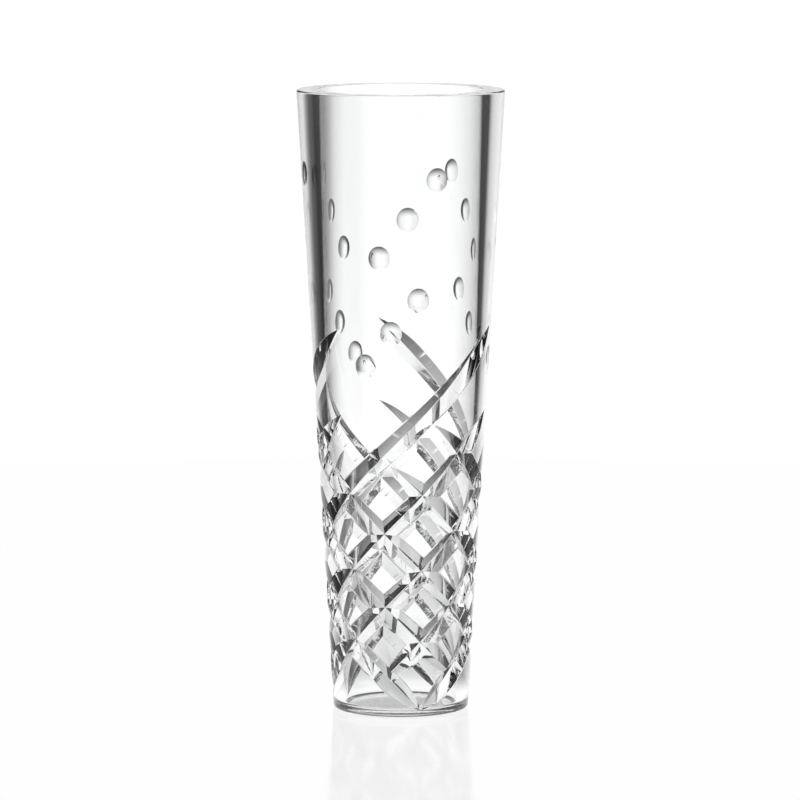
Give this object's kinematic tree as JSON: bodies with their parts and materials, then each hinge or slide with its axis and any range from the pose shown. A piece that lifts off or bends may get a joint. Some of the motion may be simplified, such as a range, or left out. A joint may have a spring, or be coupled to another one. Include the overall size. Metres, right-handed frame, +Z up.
{
  "type": "cut crystal vase",
  "caption": "Tall flaring clear glass vase, thick at its flat rim, with a thin ground bottom, a mitre-cut diamond lattice and drifting round dimples.",
  "frame": {"origin": "centre of the flat ground base, on the surface that the vase stands on", "axes": "+Z up along the vase's axis towards the mouth; -Y is the front, where a row of round dimples comes down beside the upper end of a diamond lattice"},
  "size_m": [0.0837, 0.0836, 0.25],
  "materials": {
    "crystal": "clear, fire-polished outside, wheel-cut and acid-polished grooves"
  },
  "bodies": {
    "root": {"vase_body": "crystal"}
  },
  "joints": []
}
